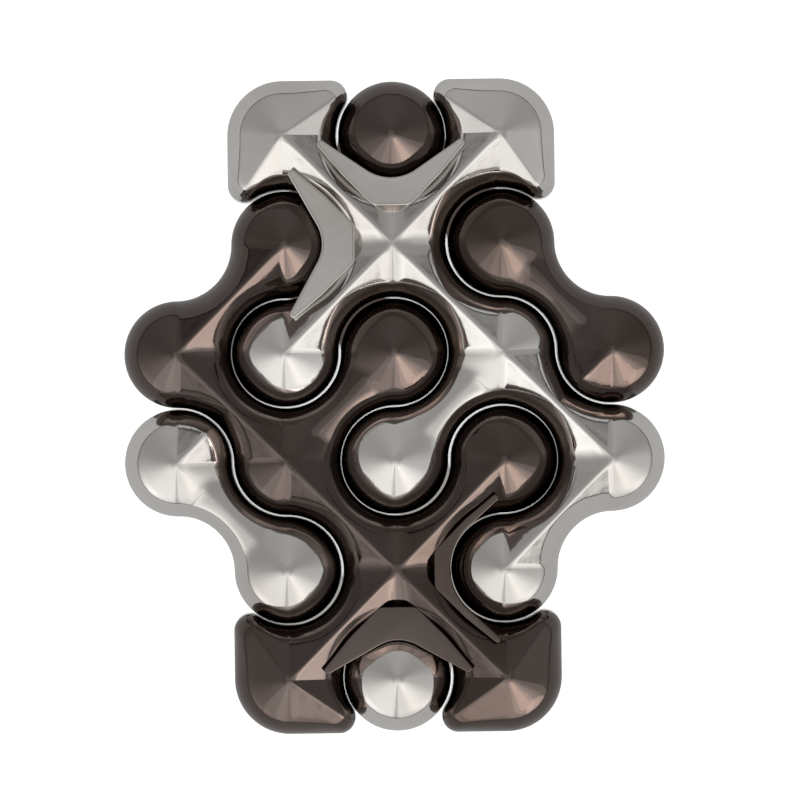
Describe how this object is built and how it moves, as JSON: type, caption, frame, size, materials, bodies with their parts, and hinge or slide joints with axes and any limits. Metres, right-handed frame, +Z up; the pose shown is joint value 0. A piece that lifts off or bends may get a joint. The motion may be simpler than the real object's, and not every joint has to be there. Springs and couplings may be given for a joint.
{
  "type": "cast metal take-apart puzzle",
  "caption": "Flat pocket puzzle of two interlocked plated castings, one bright and one dark: cone-topped dots joined corner to corner by ridged arms.",
  "frame": {"origin": "centre of the footprint, at the underside of the puzzle lying flat", "axes": "+Z up out of the face seen in the picture, +Y along the long side towards the light casting's two corner pads, +X across"},
  "size_m": [0.0498, 0.0602, 0.011],
  "materials": {
    "bright_plating": "bright nickel plating over a zinc-alloy casting, mirror polished, lightly wavy",
    "dark_plating": "black nickel plating over a zinc-alloy casting, mirror polished, slightly brown"
  },
  "bodies": {
    "dark_casting": {"dark_casting": "dark_plating"},
    "light_casting": {"light_casting": "bright_plating"}
  },
  "joints": [
    {"name": "opening_swing", "type": "hinge", "parent": "dark_casting", "child": "light_casting", "pos_m": [0, 0, 0.00475], "axis": [0.7934, -0.6088, 0], "range_deg": [0, 50]}
  ]
}
